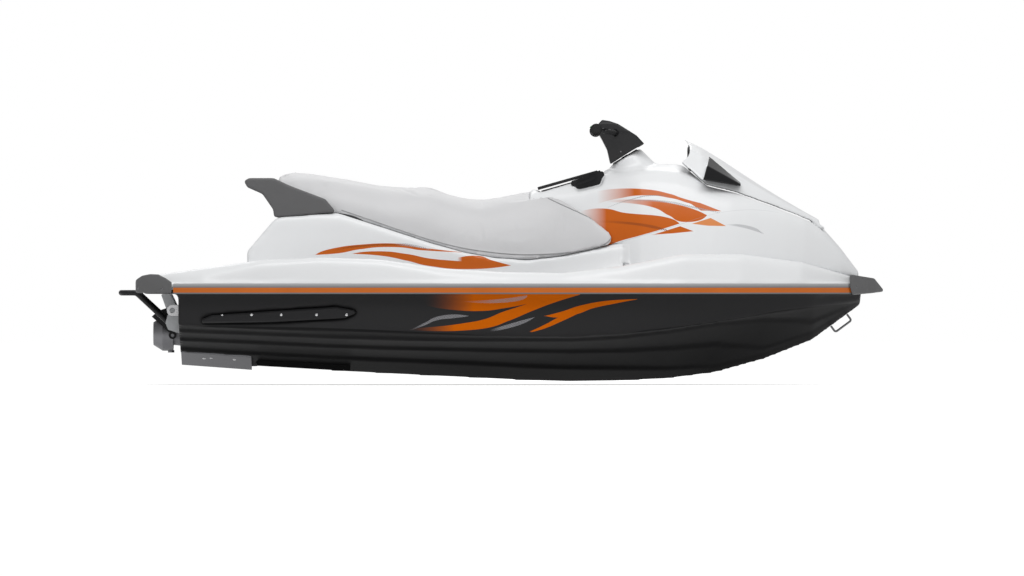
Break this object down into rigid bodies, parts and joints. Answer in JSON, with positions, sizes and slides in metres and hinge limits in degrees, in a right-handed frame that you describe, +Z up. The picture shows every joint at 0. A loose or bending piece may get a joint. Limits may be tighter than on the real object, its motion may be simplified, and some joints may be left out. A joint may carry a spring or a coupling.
{
  "type": "personal watercraft",
  "caption": "Three-seat personal watercraft with a jet pump, turning handlebar and nozzle, lifting hood, reverse gate and folding boarding step.",
  "frame": {"origin": "on the centreline at the waterline, below the front of the saddle", "axes": "+X to the bow, +Y to port, +Z up"},
  "size_m": [3.2909, 1.1768, 1.128],
  "materials": {
    "hull_gelcoat": "gloss",
    "deck_gelcoat": "gloss",
    "seat_cover": "soft grain",
    "rail_rubber": "satin",
    "accent": "gloss",
    "bumper_rubber": "satin",
    "trim_plastic": "grained",
    "grip_rubber": "matte",
    "mat_foam": "ribbed",
    "cast_metal": "cast",
    "stainless": "brushed",
    "engine_metal": "matt",
    "mirror_silver": "polished"
  },
  "bodies": {
    "craft": {"hull": "hull_gelcoat", "deck": "deck_gelcoat", "cowl": "deck_gelcoat", "seat": "seat_cover", "grab_handle": "trim_plastic", "glove_box": "trim_plastic", "glove_hinge_pin": "stainless", "hood_hinge_pin": "stainless", "storage_bin": "trim_plastic", "engine_block": "engine_metal", "rail_port": "rail_rubber", "rail_starboard": "rail_rubber", "stripe_port": "accent", "stripe_starboard": "accent", "bow_bumper": "bumper_rubber", "bow_eye": "stainless", "stern_corner_port": "bumper_rubber", "stern_corner_starboard": "bumper_rubber", "stern_eye_port": "stainless", "stern_eye_starboard": "stainless", "footwell_mat_port": "mat_foam", "footwell_mat_starboard": "mat_foam", "boarding_mat": "mat_foam", "sponson_port": "trim_plastic", "sponson_starboard": "trim_plastic", "ride_plate": "cast_metal", "intake_grate": "cast_metal", "jet_pump": "cast_metal", "discharge_nozzle": "cast_metal", "step_bracket_port": "cast_metal", "step_bracket_starboard": "cast_metal", "shift_panel": "trim_plastic", "shift_lever": "trim_plastic", "fuel_cap": "trim_plastic"},
    "hood_body": {"hood": "deck_gelcoat", "meter_panel": "trim_plastic", "mirror_port": "trim_plastic", "mirror_starboard": "trim_plastic", "mirror_glass_port": "mirror_silver", "mirror_glass_starboard": "mirror_silver"},
    "steering_bars": {"handlebar": "stainless", "steering_column": "stainless", "handlebar_cover": "trim_plastic", "grip_port": "grip_rubber", "grip_starboard": "grip_rubber", "throttle_lever": "trim_plastic", "switch_housing": "trim_plastic"},
    "glove_lid_body": {"glove_lid": "deck_gelcoat"},
    "nozzle_body": {"steering_nozzle": "cast_metal"},
    "gate_body": {"reverse_gate": "trim_plastic"},
    "step_body": {"boarding_step": "trim_plastic"},
    "impeller_body": {"impeller": "stainless"}
  },
  "joints": [
    {"name": "hood_hinge", "type": "hinge", "parent": "craft", "child": "hood_body", "pos_m": [1.43134, 0, 0.43437], "axis": [0, 1, 0], "range_deg": [0, 45]},
    {"name": "steering", "type": "hinge", "parent": "craft", "child": "steering_bars", "pos_m": [0.5819, 0, 0.74098], "axis": [-0.515, 0, 0.8572], "range_deg": [-25, 25]},
    {"name": "nozzle_turn", "type": "hinge", "parent": "craft", "child": "nozzle_body", "pos_m": [-1.37425, 0, -0.01996], "axis": [0, 0, 1], "range_deg": [-22.6, 22.6]},
    {"name": "gate_swing", "type": "hinge", "parent": "craft", "child": "gate_body", "pos_m": [-1.36587, 0, -0.02697], "axis": [0, -1, 0], "range_deg": [0, 69]},
    {"name": "step_fold", "type": "hinge", "parent": "craft", "child": "step_body", "pos_m": [-1.37006, 0, 0.01703], "axis": [0, -1, 0], "range_deg": [0, 100], "stiffness_Nm_per_rad": 0.12, "springref_deg": -68.75},
    {"name": "impeller_spin", "type": "hinge", "parent": "craft", "child": "impeller_body", "pos_m": [-1.1, 0, -0.01996], "axis": [1, 0, 0], "continuous": true},
    {"name": "glove_lid_hinge", "type": "hinge", "parent": "craft", "child": "glove_lid_body", "pos_m": [0.47746, 0, 0.67154], "axis": [0, 1, 0], "range_deg": [0, 60]}
  ],
  "couplings": [
    {"joint": "nozzle_turn", "follows": "steering", "ratio": -0.9}
  ]
}
